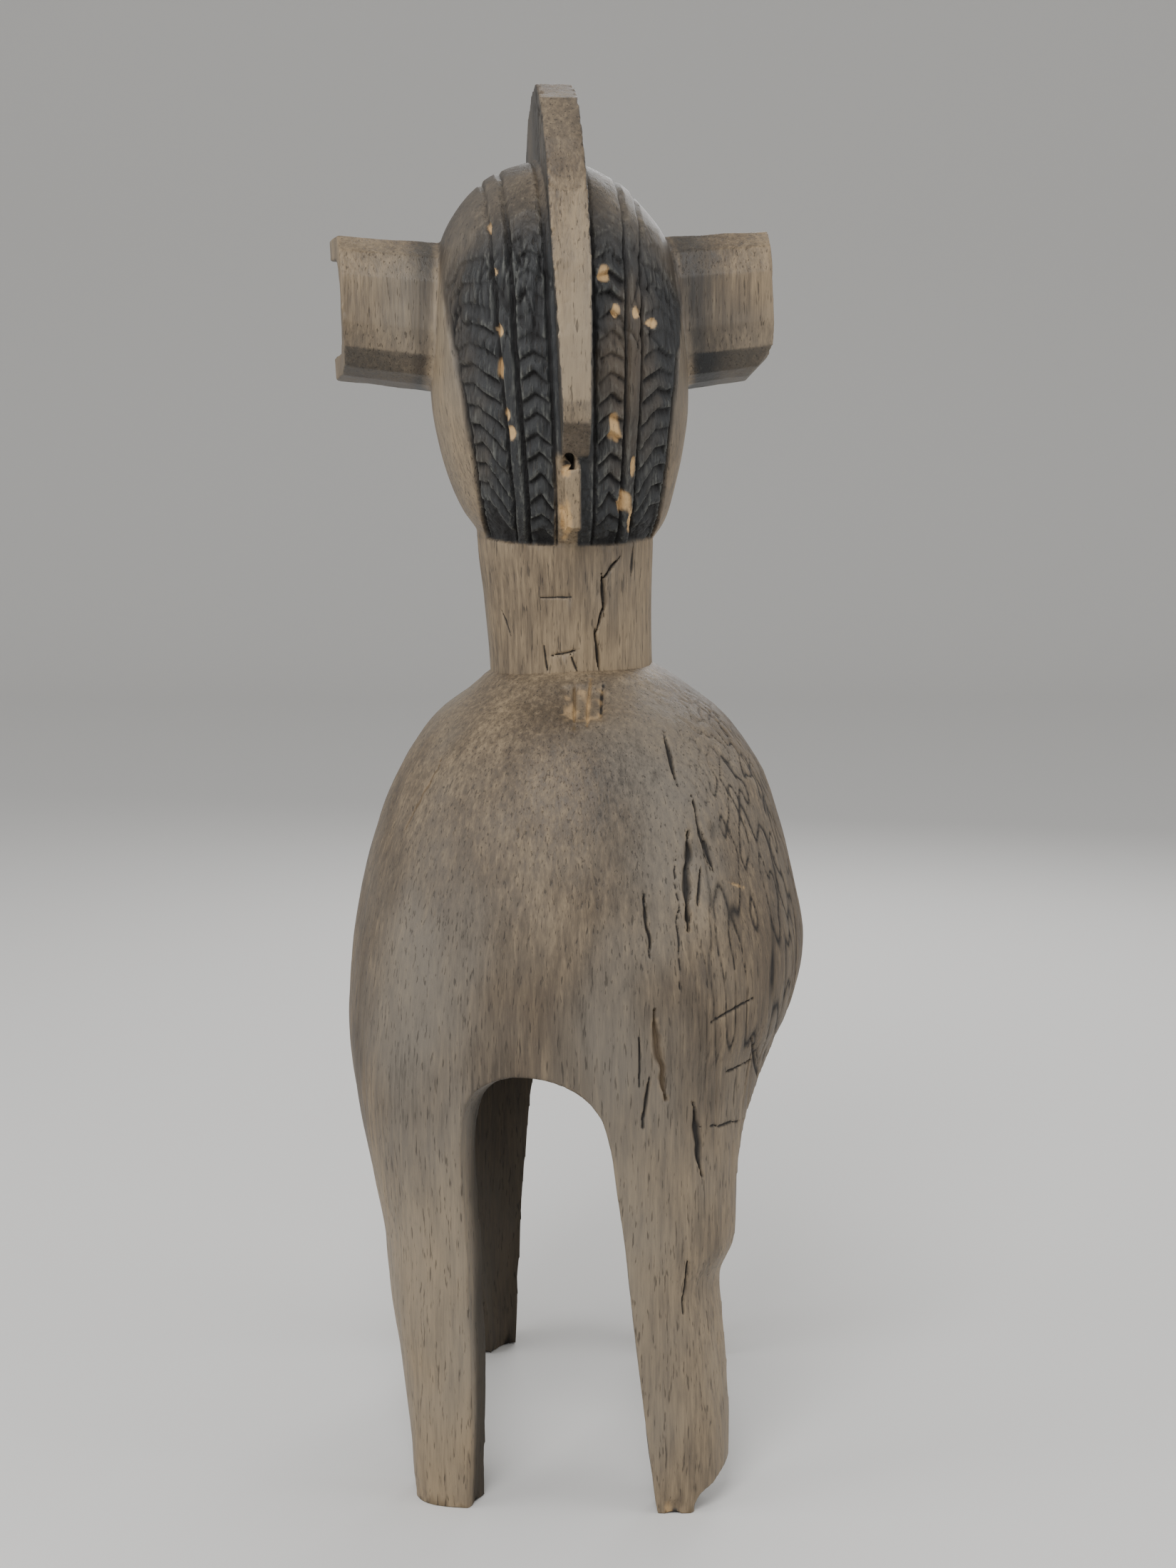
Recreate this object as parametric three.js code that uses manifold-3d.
// A carved wooden shoulder mask of the nimba type, cut from one log, in millimetres and at its real size.
// A head on a long neck rises from a hollow yoke on four legs, and the wearer's head goes up into the yoke.
// +Z is up, the face looks towards -Y, the back of the head towards +Y, and the mask's own left side is +X.
import * as THREE from "three";
import { mergeVertices } from "three/addons/utils/BufferGeometryUtils.js";
import Module from "manifold-3d";

const wasm = await Module();
wasm.setup();

// Driving dimensions
const CREST_TOP = 1254; // the highest point of the mask
const RIM = 866; // height of the nape, where the carved hair ends
const RIM_SAG = 7; // the hair's edge hangs this much lower in its middle
const WALL = 31; // thickness of the yoke's wall and of its legs
const CAVITY_TOP = 652; // the hollow of the yoke ends here, under the neck
const YOKE_TURN = -3.5; // degrees: the yoke looks a little to its right
const YOKE_SHIFT = -11; // the yoke's axis lies to the right of the neck's
const HEAD_TURN = 5; // degrees: the head looks a little to its left
const HEAD_SHIFT = 2; // the head's axis at the nape, to the left of the neck's
const HEAD_LEAN = 0.036; // how far the head's axis leans to its left, per unit of height above the nape
const JAW_TAPER = 0.24; // how much narrower the jaw is than the head behind it
const CREST_THICK = 34; // thickness of the crest over the top of the head
const EAR_REACH_LEFT = 196; // from the head's axis to the back edge of the left ear's mouth
const EAR_REACH_RIGHT = 190; // the same on the right ear, which is worn
const BRAID_STEP = 17.5; // distance between two strokes of a braid
const BRAID_CUT = 6; // depth of the long grooves between the braids
const STROKE_CUT = 5; // depth of a braid's strokes
const STROKE_WIDTH = 9; // width of a braid's stroke at the surface
const STROKE_FALL = 0.68; // how far a stroke falls from the middle of its braid, per unit of length
const BREAST_TIP = [84, -298, 424]; // the tip of the left breast
const BREAST_WIDTH = [60, 42]; // half the breast's width, at its root and at its end
const BREAST_DEPTH = [26, 21]; // half its thickness
const SLOT_SIZE = [54, 160, 30]; // the slot that the wearer looks out through
const SLOT_HEIGHT = 505; // its middle

const WELD = 1e-3; // points closer than this are one point

// Cross-sections of the yoke from the floor up: height, half width on its left and on its right,
// reach to the back and to the front, and squareness of the plan (2 is an ellipse).
const YOKE_SECTIONS = [
  [-30, 141, 143, 201, 228, 9],
  [40, 147, 146, 205, 229, 7.5],
  [110, 158, 145, 208, 229, 5.6],
  [172, 170, 142, 211, 228, 4.5],
  [205, 175, 142, 213, 227, 4.0],
  [235, 179, 157, 214, 226, 3.7],
  [300, 194, 163, 218, 224, 3.2],
  [350, 207, 172, 221, 221, 2.8],
  [395, 215, 184, 223, 217, 2.5],
  [430, 216, 200, 223, 213, 2.35],
  [484, 212, 209, 220, 207, 2.2],
  [537, 203, 200, 212, 198, 2.15],
  [600, 186, 184, 196, 181, 2.1],
  [637, 171, 171, 181, 166, 2.1],
  [668, 154, 152, 163, 149, 2.1],
  [696, 130, 129, 140, 126, 2.1],
  [717, 102, 101, 112, 100, 2.1],
  [735, 80, 74, 88, 78, 2.1],
  [750, 40, 40, 50, 44, 2],
];

// Cross-sections of the neck, in the same columns.
const NECK_SECTIONS = [
  [690, 72, 81, 80, 72, 2.1],
  [740, 73, 78, 81, 73, 2.1],
  [800, 78, 77, 83, 75, 2.1],
  [850, 84, 78, 86, 78, 2.1],
  [900, 84, 78, 86, 80, 2.1],
];

// Cross-sections of the head on its own axis, in the same columns.
const HEAD_SECTIONS = [
  [RIM - 8, 78, 80, 84, 108, 2.2],
  [RIM + 2, 85, 88, 98, 119, 2.2],
  [880, 94, 94, 110, 127, 2.2],
  [903, 104, 101, 121, 131, 2.2],
  [935, 113, 109, 131, 133, 2.2],
  [975, 119, 115, 139, 132, 2.2],
  [1030, 119, 114, 144, 129, 2.2],
  [1085, 114, 107, 143, 130, 2.2],
  [1124, 104, 98, 134, 126, 2.2],
  [1150, 89, 80, 118, 114, 2.1],
  [1170, 70, 60, 96, 95, 2.1],
  [1185, 45, 36, 62, 66, 2],
  [1192, 22, 18, 28, 30, 2],
];
const HEAD_MIDDLE = 1030; // the height that the braids' lines run round

// Reading a table of sections

// A section's numbers at one height, on a smooth curve through the rows of its table.
function sectionAt(sections, height) {
  const last = sections.length - 1;
  const z = THREE.MathUtils.clamp(height, sections[0][0], sections[last][0]);
  let i = 0;
  while (i < last - 1 && z > sections[i + 1][0]) i++;
  const [low, high] = [sections[i], sections[i + 1]];
  const [before, after] = [sections[Math.max(i - 1, 0)], sections[Math.min(i + 2, last)]];
  const span = high[0] - low[0];
  const t = (z - low[0]) / span;
  return low.map((value, k) => {
    const slopeIn = ((high[k] - before[k]) / (high[0] - before[0])) * span;
    const slopeOut = ((after[k] - value) / (after[0] - low[0])) * span;
    const rise = high[k] - value;
    return value + t * (slopeIn + t * (3 * rise - 2 * slopeIn - slopeOut + t * (slopeIn + slopeOut - 2 * rise)));
  });
}

// The point of a section's outline at one angle, counted from +X towards +Y.
function outlinePoint([, left, right, back, front, squareness], angle, inset) {
  const bend = (value) => (Math.abs(value) < 1e-6 ? 0 : Math.sign(value) * Math.abs(value) ** (2 / squareness));
  const c = Math.cos(angle);
  const s = Math.sin(angle);
  return [((c > 0 ? left : right) - inset) * bend(c), ((s > 0 ? back : front) - inset) * bend(s)];
}

// Under 1 inside the sections, over 1 outside them.
function fill(sections, x, y, z) {
  const [, left, right, back, front, squareness] = sectionAt(sections, z);
  const across = Math.abs(x) / (x > 0 ? left : right);
  const along = Math.abs(y) / (y > 0 ? back : front);
  return across ** squareness + along ** squareness + Math.max(z - sections.at(-1)[0], 0);
}

// Solids from geometries

// Turns a closed geometry into a solid, with its seams merged and with its faces pointing out.
function solid(geometry, matrix = new THREE.Matrix4()) {
  const bare = new THREE.BufferGeometry();
  bare.setAttribute("position", geometry.getAttribute("position").clone());
  if (geometry.index) bare.setIndex(geometry.index);
  bare.applyMatrix4(matrix);
  const merged = mergeVertices(bare, WELD);
  const vertProperties = merged.attributes.position.array;
  const kept = [];
  for (let i = 0; i < merged.index.count; i += 3) {
    const [a, b, c] = merged.index.array.slice(i, i + 3);
    if (a !== b && b !== c && c !== a) kept.push([a, b, c]);
  }
  const make = (faces) => {
    return new wasm.Manifold(new wasm.Mesh({ numProp: 3, vertProperties, triVerts: new Uint32Array(faces.flat()) }));
  };
  const made = make(kept);
  return made.volume() > 0 ? made : make(kept.map(([a, b, c]) => [a, c, b]));
}

function joined(solids) {
  return solids.reduce((whole, piece) => whole.add(piece));
}

// Moves every vertex of a geometry by a function of its place.
function moved(geometry, place) {
  const position = geometry.getAttribute("position");
  const point = new THREE.Vector3();
  for (let i = 0; i < position.count; i++) {
    place(point.fromBufferAttribute(position, i));
    position.setXYZ(i, point.x, point.y, point.z);
  }
  return geometry;
}

const DOME_END = 0.03; // a dome closes with a small flat, by this share of its plan

// A closed body through a table of sections, with flat ends. A dome rounds its top over the height given for it.
function lofted(sections, bottom, top, around, rings, inset = 0, dome = 0) {
  const rows = rings + 2;
  return moved(new THREE.SphereGeometry(1, around, rows), (point) => {
    const row = Math.round((Math.acos(THREE.MathUtils.clamp(point.y, -1, 1)) / Math.PI) * rows);
    const angle = Math.atan2(point.z, -point.x);
    const height = top + (bottom - top) * THREE.MathUtils.clamp((row - 1) / rings, 0, 1);
    const [x, y] = outlinePoint(sectionAt(sections, height), angle, inset);
    const drop = dome ? THREE.MathUtils.clamp((top - height) / dome, 0, 1) : 1;
    const open = row === 0 || row === rows ? 0 : Math.sqrt(Math.max(1 - (1 - drop) ** 2, DOME_END));
    point.set(x * open, y * open, height);
  });
}

// A closed prism over an outline. `place` turns (across, up, along from 0 to 1) into a point.
function prism(outline, steps, place) {
  const shape = new THREE.Shape(outline.map(([across, up]) => new THREE.Vector2(across, up)));
  const body = new THREE.ExtrudeGeometry(shape, { depth: 1, steps, bevelEnabled: false });
  return moved(body, (point) => point.set(...place(point.x, point.y, point.z)));
}

// Points on a smooth curve through a few points.
function smooth(points, count) {
  const curve = new THREE.SplineCurve(points.map(([x, y]) => new THREE.Vector2(x, y)));
  return curve.getPoints(count).map((point) => [point.x, point.y]);
}

function mirroredOutline(points) {
  const others = points.slice(0, -1).reverse();
  return [...points, ...others.map(([across, up]) => [-across, up])];
}

// The yoke

// The arch between the two rear legs, seen from behind the mask, from its left foot round to its right foot.
const REAR_ARCH = smooth([
  [88, -40], [84, 32], [80, 120], [82, 246], [86, 325], [81, 371], [62, 390], [34, 397], [4, 391], [-21, 375],
  [-36, 345], [-47, 274], [-56, 200], [-70, 80], [-86, -40],
], 24);

// Half of the arch between the two front legs, from its foot to its top.
const FRONT_ARCH = [[84, -40], [76, 120], [67, 260], [56, 335], [32, 374], [0, 386]];

// The arches between a front and a rear leg, in height and reach to the back. The right one is worn wide.
const LEFT_ARCH = [[154, -40], [146, 50], [124, 160], [92, 270], [50, 358], [0, 396]];
const RIGHT_ARCH = [[154, -40], [152, 60], [148, 180], [142, 290], [124, 348], [72, 384], [0, 402]];
const FRONT_STRETCH = 1.17; // the side arches reach this much further to the front than to the back
const FRONT_TAPER = 0.07; // the front legs stand closer together than the rear ones by this share
const TAPER_REACH = [40, 220]; // the taper starts and is complete at these reaches to the front
const TAPER_HEIGHT = [200, 500]; // it is whole under the first height and gone over the second
const CAVITY_DOME = 100; // the top of the hollow is rounded over this height

function tapered(geometry) {
  return moved(geometry, (point) => {
    const front = THREE.MathUtils.smoothstep(-point.y, ...TAPER_REACH);
    const low = 1 - THREE.MathUtils.smoothstep(point.z, ...TAPER_HEIGHT);
    point.x *= 1 - FRONT_TAPER * front * low;
  });
}

function yokeShell() {
  const [bottom, top] = [YOKE_SECTIONS[0][0], YOKE_SECTIONS.at(-1)[0]];
  const outside = tapered(lofted(YOKE_SECTIONS, bottom, top, 36, 17));
  const inside = tapered(lofted(YOKE_SECTIONS, bottom - 30, CAVITY_TOP, 24, 8, WALL, CAVITY_DOME));
  return solid(outside).subtract(solid(inside));
}

// An arch through the back or the front wall, cut on a slant, so that it is narrower and lower inside.
// The slants are shares of the arch's size per unit of depth.
function wallArch(outline, side) {
  const [near, face, far] = [110, 200, 280];
  const [leftSlant, rightSlant, topSlant] = [0.0045, 0.0014, 0.1];
  return solid(prism(outline, 2, (across, up, along) => {
    const reach = near + (far - near) * along;
    const narrow = 1 + (across > 0 ? leftSlant : rightSlant) * (reach - face);
    const drop = topSlant * (reach - face) * THREE.MathUtils.smoothstep(up, 150, 360);
    return [across * narrow, side * reach, up + drop];
  }));
}

function sideArch(outline, side) {
  const [near, face, far] = [60, 170, 290];
  const slant = 0.0012;
  return solid(prism(mirroredOutline(outline), 2, (across, up, along) => {
    const x = near + (far - near) * along;
    const reach = across * (across > 0 ? 1 : FRONT_STRETCH);
    return [side * x, reach * (1 + slant * (x - face)), up];
  }));
}

// The outer part of the right rear foot is broken off above the floor.
function footBreak() {
  const outline = [[-112, -50], [-114, 6], [-119, 16], [-131, 22], [-143, 33], [-190, 40], [-190, -50]];
  return solid(prism(outline, 1, (across, up, along) => [across, 120 + 140 * along, up]));
}

// The wearer looks out through a slot between the breasts.
function sightSlot() {
  return solid(new THREE.BoxGeometry(...SLOT_SIZE), new THREE.Matrix4().makeTranslation(0, -190, SLOT_HEIGHT));
}

// A breast is a long flat form that leaves the chest, sinks forward and ends in a raised tip.
function breast(side) {
  const [tipX, tipY, tipZ] = BREAST_TIP;
  const spine = new THREE.CatmullRomCurve3([
    new THREE.Vector3(58, -84, 676),
    new THREE.Vector3(64, -156, 618),
    new THREE.Vector3(73, -228, 536),
    new THREE.Vector3(tipX, tipY, tipZ),
  ]);
  const across = new THREE.Vector3(1, 0, 0);
  const body = moved(new THREE.SphereGeometry(1, 12, 10), (point) => {
    const share = Math.acos(THREE.MathUtils.clamp(point.y, -1, 1)) / Math.PI;
    const out = spine.getTangent(share).cross(across).normalize();
    const swell = Math.sin(Math.PI * share) ** 0.4 || 0;
    const ring = Math.hypot(point.x, point.z) || 1;
    const [wide, deep] = [BREAST_WIDTH, BREAST_DEPTH].map((size) => THREE.MathUtils.lerp(...size, share) * swell);
    const [sideways, outwards] = [(-point.x / ring) * wide, (point.z / ring) * deep];
    point.copy(spine.getPoint(share)).addScaledVector(across, sideways).addScaledVector(out, outwards);
  });
  const sink = 4;
  const tip = new THREE.CylinderGeometry(9, 13, 34, 10).rotateX(-2.2).translate(tipX, tipY + sink, tipZ + sink);
  return solid(body, mirror(side)).add(solid(tip, mirror(side)));
}

function mirror(side) {
  return new THREE.Matrix4().makeScale(side, 1, 1);
}

const yokePlace = new THREE.Matrix4()
  .makeRotationZ(THREE.MathUtils.degToRad(YOKE_TURN))
  .setPosition(YOKE_SHIFT, 0, 0);

function yoke() {
  const cuts = [wallArch(REAR_ARCH, 1), wallArch(mirroredOutline(FRONT_ARCH), -1), sideArch(LEFT_ARCH, 1),
    sideArch(RIGHT_ARCH, -1), footBreak(), sightSlot()];
  const body = joined([yokeShell(), breast(1), breast(-1)]).subtract(joined(cuts));
  const cellar = solid(new THREE.BoxGeometry(800, 800, 200), new THREE.Matrix4().makeTranslation(0, 0, -100));
  return geometryOf(body.subtract(cellar));
}

// The head

// Side outline of the crest: reach to the back, and height. Its edge is cut in flats, and its low end on a slant.
const CREST_EDGE = [
  [-112, 1080], [-146, 1098], [-156, 1130], [-146, 1170], [-112, 1212], [-60, 1240], [0, 1252], [50, CREST_TOP],
  [94, 1236], [130, 1198], [155, 1150], [170, 1092], [175, 1030], [172, 975], [167, 957], [126, 922],
];
const CREST_ROOT = [[80, 930], [70, 1060], [20, 1120], [-50, 1120], [-84, 1090]];

// The crest is thinnest at its low end.
function crest() {
  return prism([...CREST_EDGE, ...CREST_ROOT], 1, (across, up, along) => {
    const low = THREE.MathUtils.smoothstep(up, 910, 1120);
    return [(along - 0.5) * CREST_THICK * (0.7 + 0.3 * low), across, up];
  });
}

// The ridge of wood that runs on under the crest to the nape, a little to its left.
function crestTail() {
  const outline = [[126, 930], [137, 918], [121, 866], [95, 862], [90, 925]];
  const [thick, aside] = [15, 3];
  return prism(outline, 1, (across, up, along) => [(along - 0.5) * thick + aside, across, up]);
}

// An ear is a channel that is open to the front. Its outline is in reach to the back and height.
const EAR_SECTION = [
  [-56, 1132], [14, 1131], [36, 1116], [45, 1094], [46, 1050], [41, 1028], [26, 1010], [4, 1002], [-56, 999],
  [-56, 1020], [0, 1023], [14, 1036], [21, 1060], [20, 1086], [10, 1104], [-6, 1110], [-56, 1113],
];

const EAR_MIDDLE = 1066; // the height of the ear section's middle, which each ear sets at its own height
const EAR_ROOT = 60; // an ear starts this far from the head's axis, inside the wood
const EAR_LEFT = { reach: EAR_REACH_LEFT, middle: 1051, tall: 1.02, wornAway: 0 };
const EAR_RIGHT = { reach: EAR_REACH_RIGHT, middle: 1055, tall: 1.07, wornAway: 22 };

// An ear's mouth flares to the front, and rises and leans back a little as it goes out. The right ear's lower
// corner is worn away.
function ear(side) {
  const { reach, middle, tall, wornAway } = side > 0 ? EAR_LEFT : EAR_RIGHT;
  const [flareSlope, shrink, rise, lean] = [0.11, 0.07, 12, 8];
  return prism(EAR_SECTION, 2, (across, up, along) => {
    const flare = flareSlope * Math.max(30 - across, 0);
    const worn = wornAway * THREE.MathUtils.smoothstep(1024 - up, 0, 26);
    const height = middle + (up - EAR_MIDDLE) * (tall - shrink * along) + rise * along;
    return [side * (EAR_ROOT + (reach - EAR_ROOT + flare - worn) * along), across + lean * along, height];
  });
}

// A long nose with an arched ridge. It is 12 thick between the eyes and 24 at its low end, and wider where it
// meets the face.
function nose() {
  const ridge = smooth([[-112, 1106], [-146, 1086], [-174, 1046], [-189, 1002], [-190, 962], [-176, 932]], 8);
  return prism([...ridge, [-150, 924], [-96, 924], [-96, 1106]], 1, (across, up, along) => {
    const root = THREE.MathUtils.smoothstep(across, -185, -120);
    const low = THREE.MathUtils.smoothstep(1100 - up, 0, 170);
    return [(along - 0.5) * (12 + 12 * low + (14 + 16 * low) * root), across, up];
  });
}

function nostril(side) {
  return new THREE.SphereGeometry(1, 8, 6).scale(16, 22, 13).translate(side * 16, -150, 938);
}

const EYE = [50, -116, 1040]; // the middle of the left eye
const EYE_TURN = 0.38; // radians: the eyes turn outwards with the cheeks
const LID_RADIUS = 19;

// An eye is a low disc inside a raised ring.
function eye(side) {
  const [x, y, z] = EYE;
  const disc = new THREE.SphereGeometry(1, 8, 6).scale(LID_RADIUS - 2, 15, 14);
  const lid = new THREE.TorusGeometry(LID_RADIUS, 4.5, 4, 12).rotateX(Math.PI / 2).scale(1, 1, 0.85);
  return [disc, lid].map((form) => form.rotateZ(side * EYE_TURN).translate(side * x, y, z));
}

// The brow is a half ring over each eye that runs into the ridge of the nose.
function brow(side) {
  const [x, , z] = EYE;
  const [outer, inner, stretch, lift] = [39, 31, 1.15, 6];
  const turns = Array.from({ length: 8 }, (_, i) => Math.PI * (0.02 + 0.98 * (i / 7)));
  const ring = (radius) => turns.map((turn) => {
    return [x + radius * stretch * Math.cos(turn), z + lift + radius * Math.sin(turn)];
  });
  return prism([...ring(outer), ...ring(inner).reverse()], 1, (across, up, along) => {
    return [side * across, -96 - (40 - 0.22 * Math.abs(across)) * along, up];
  });
}

const MOUTH_HEIGHT = 892;

function lips() {
  const form = new THREE.SphereGeometry(1, 12, 6).scale(31, 20, 15).translate(0, -128, MOUTH_HEIGHT);
  const parting = new THREE.BoxGeometry(44, 20, 4.5).translate(0, -148, MOUTH_HEIGHT);
  return solid(form).subtract(solid(parting));
}

// Places on the head's surface, for the braids

// The point of the surface in the plane at x, seen from the head's middle at a turn from straight up to the back.
function skin(x, turn) {
  const halvings = 24;
  let [inner, outer] = [0, 260];
  const at = (reach) => [x, reach * Math.sin(turn), HEAD_MIDDLE + reach * Math.cos(turn)];
  for (let i = 0; i < halvings; i++) {
    const reach = (inner + outer) / 2;
    if (fill(HEAD_SECTIONS, ...at(reach)) < 1) inner = reach;
    else outer = reach;
  }
  return new THREE.Vector3(...at(inner));
}

// The outward direction of the surface at a point.
function outwards(point) {
  const step = 1.5;
  const slope = (dx, dy, dz) => {
    const ahead = fill(HEAD_SECTIONS, point.x + dx, point.y + dy, point.z + dz);
    return ahead - fill(HEAD_SECTIONS, point.x - dx, point.y - dy, point.z - dz);
  };
  return new THREE.Vector3(slope(step, 0, 0), slope(0, step, 0), slope(0, 0, step)).normalize();
}

const BRAID_SPREAD = 1.1; // the braids' lines stand this much further apart on top of the head
const BRAID_NARROWING = 0.23; // and draw together by this much at the nape

function braidX(x, turn) {
  const share = Math.max(THREE.MathUtils.radToDeg(turn) - 40, 0) / 110;
  return x * (BRAID_SPREAD - BRAID_NARROWING * share ** 2);
}

// A three-sided groove along points of the surface. Its third edge lies inside the wood.
function groove(points, width, depth) {
  const lift = 3;
  const steps = points.length - 1;
  const spread = (width / 2) * ((depth + lift) / depth);
  return moved(new THREE.CylinderGeometry(1, 1, 1, 3, steps), (point) => {
    const i = Math.round((0.5 - point.y) * steps);
    const ahead = points[Math.min(i + 1, steps)].clone().sub(points[Math.max(i - 1, 0)]).normalize();
    const out = outwards(points[i]);
    const sideways = new THREE.Vector3().crossVectors(ahead, out).normalize();
    const rise = lift - ((depth + lift) * (point.z + 0.5)) / 1.5;
    const shift = (point.x / Math.sin(Math.PI / 3)) * spread;
    point.copy(points[i]).addScaledVector(out, rise).addScaledVector(sideways, shift);
  });
}

// Turns at equal distances along the line at x, from the nape up the back of the head.
function turnsAlong(x, first, last, step) {
  const turns = [];
  let before = skin(braidX(x, first), first);
  let walked = step;
  for (let turn = first; turn > last; turn -= 0.01) {
    const here = skin(braidX(x, turn), turn);
    walked += here.distanceTo(before);
    before = here;
    if (walked < step) continue;
    turns.push(turn);
    walked = 0;
  }
  return turns;
}

// Each braid: where its strokes meet, and where they end on the side of the crest and on the outer side.
const BRAIDS = [
  { side: 1, ridge: 33, inner: 21, outer: 43 },
  { side: 1, ridge: 84, inner: 65, outer: 91 },
  { side: -1, ridge: 33, inner: 21, outer: 43 },
  { side: -1, ridge: 78, inner: 65, outer: 91 },
];
const [NAPE_TURN, BROW_TURN, EAR_TURN, STROKE_END] = [155, -42, 100, 62].map(THREE.MathUtils.degToRad);
const BORDER_WIDTH = 7;

// The long grooves that border the braids, with the turn that each ends at.
const BRAID_BORDERS = [[47, BROW_TURN], [61, BROW_TURN], [96, EAR_TURN]];

function braidStrokes({ side, ridge, inner, outer }) {
  return turnsAlong(side * ridge, NAPE_TURN - 0.1, STROKE_END, BRAID_STEP).map((turn) => {
    const bend = [inner, ridge, outer].map((x) => {
      const low = turn + (STROKE_FALL * Math.abs(x - ridge)) / 145;
      return skin(braidX(side * x, low), low);
    });
    return groove(bend, STROKE_WIDTH, STROKE_CUT);
  });
}

function braidBorder(x, end) {
  const steps = 9;
  const turns = Array.from({ length: steps + 1 }, (_, i) => NAPE_TURN + ((end - NAPE_TURN) * i) / steps);
  return groove(turns.map((turn) => skin(braidX(x, turn), turn)), BORDER_WIDTH, BRAID_CUT);
}

const headPlace = new THREE.Matrix4()
  .set(1, 0, HEAD_LEAN, HEAD_SHIFT - HEAD_LEAN * RIM, 0, 1, 0, 0, 0, 0, 1, 0, 0, 0, 0, 1)
  .multiply(new THREE.Matrix4().makeRotationZ(THREE.MathUtils.degToRad(HEAD_TURN)));

function head() {
  const [bottom, top] = [HEAD_SECTIONS[0][0], HEAD_SECTIONS.at(-1)[0]];
  const chinForward = 10;
  const skull = moved(lofted(HEAD_SECTIONS, bottom, top, 26, 12), (point) => {
    const low = 1 - THREE.MathUtils.smoothstep(point.z, bottom, 930);
    point.z -= RIM_SAG * low * (1 - (point.x / 95) ** 2);
    // The jaw is narrower than the back of the head, and the chin comes forward.
    const jaw = 1 - THREE.MathUtils.smoothstep(point.z, 880, 1050);
    const front = THREE.MathUtils.smoothstep(-point.y, 0, 130);
    point.x *= 1 - JAW_TAPER * jaw * front;
    point.y -= chinForward * low * front;
  });
  const borders = BRAID_BORDERS.flatMap(([x, end]) => [braidBorder(x, end), braidBorder(-x, end)]);
  const cuts = [...borders, ...BRAIDS.flatMap(braidStrokes)].map((cut) => solid(cut));
  const features = [crest(), crestTail(), ear(1), ear(-1), nose(), nostril(1), nostril(-1), ...eye(1), ...eye(-1),
    brow(1), brow(-1)].map((form) => solid(form));
  return geometryOf(joined([solid(skull).subtract(joined(cuts)), ...features, lips()]));
}

// The mask

function geometryOf(body) {
  const { numProp, vertProperties, triVerts } = body.getMesh();
  const geometry = new THREE.BufferGeometry();
  const position = new Float32Array((vertProperties.length / numProp) * 3);
  for (let i = 0; i < position.length / 3; i++) {
    position.set(vertProperties.subarray(i * numProp, i * numProp + 3), i * 3);
  }
  geometry.setAttribute("position", new THREE.BufferAttribute(position, 3));
  return geometry.setIndex(new THREE.BufferAttribute(triVerts, 1));
}

function neck() {
  return lofted(NECK_SECTIONS, NECK_SECTIONS[0][0], NECK_SECTIONS.at(-1)[0], 26, 2);
}

// Where two grooves cross, a crumb of wood can come loose: only the mask itself is kept.
function withoutCrumbs(body) {
  return body.decompose().reduce((largest, piece) => (piece.volume() > largest.volume() ? piece : largest));
}

const body = withoutCrumbs(joined([solid(yoke(), yokePlace), solid(neck()), solid(head(), headPlace)]));

const wood = new THREE.MeshStandardMaterial({ color: 0x6b5842, roughness: 0.62, metalness: 0 });
const mask = new THREE.Mesh(geometryOf(body), wood);
mask.name = "mask";

// The part's origin is the middle of the underside of its bounding box, on the floor.
mask.geometry.computeBoundingBox();
const middle = mask.geometry.boundingBox.getCenter(new THREE.Vector3());
mask.position.set(-middle.x, -middle.y, -mask.geometry.boundingBox.min.z);

const nimbaMask = new THREE.Group();
nimbaMask.add(mask);

export default nimbaMask;
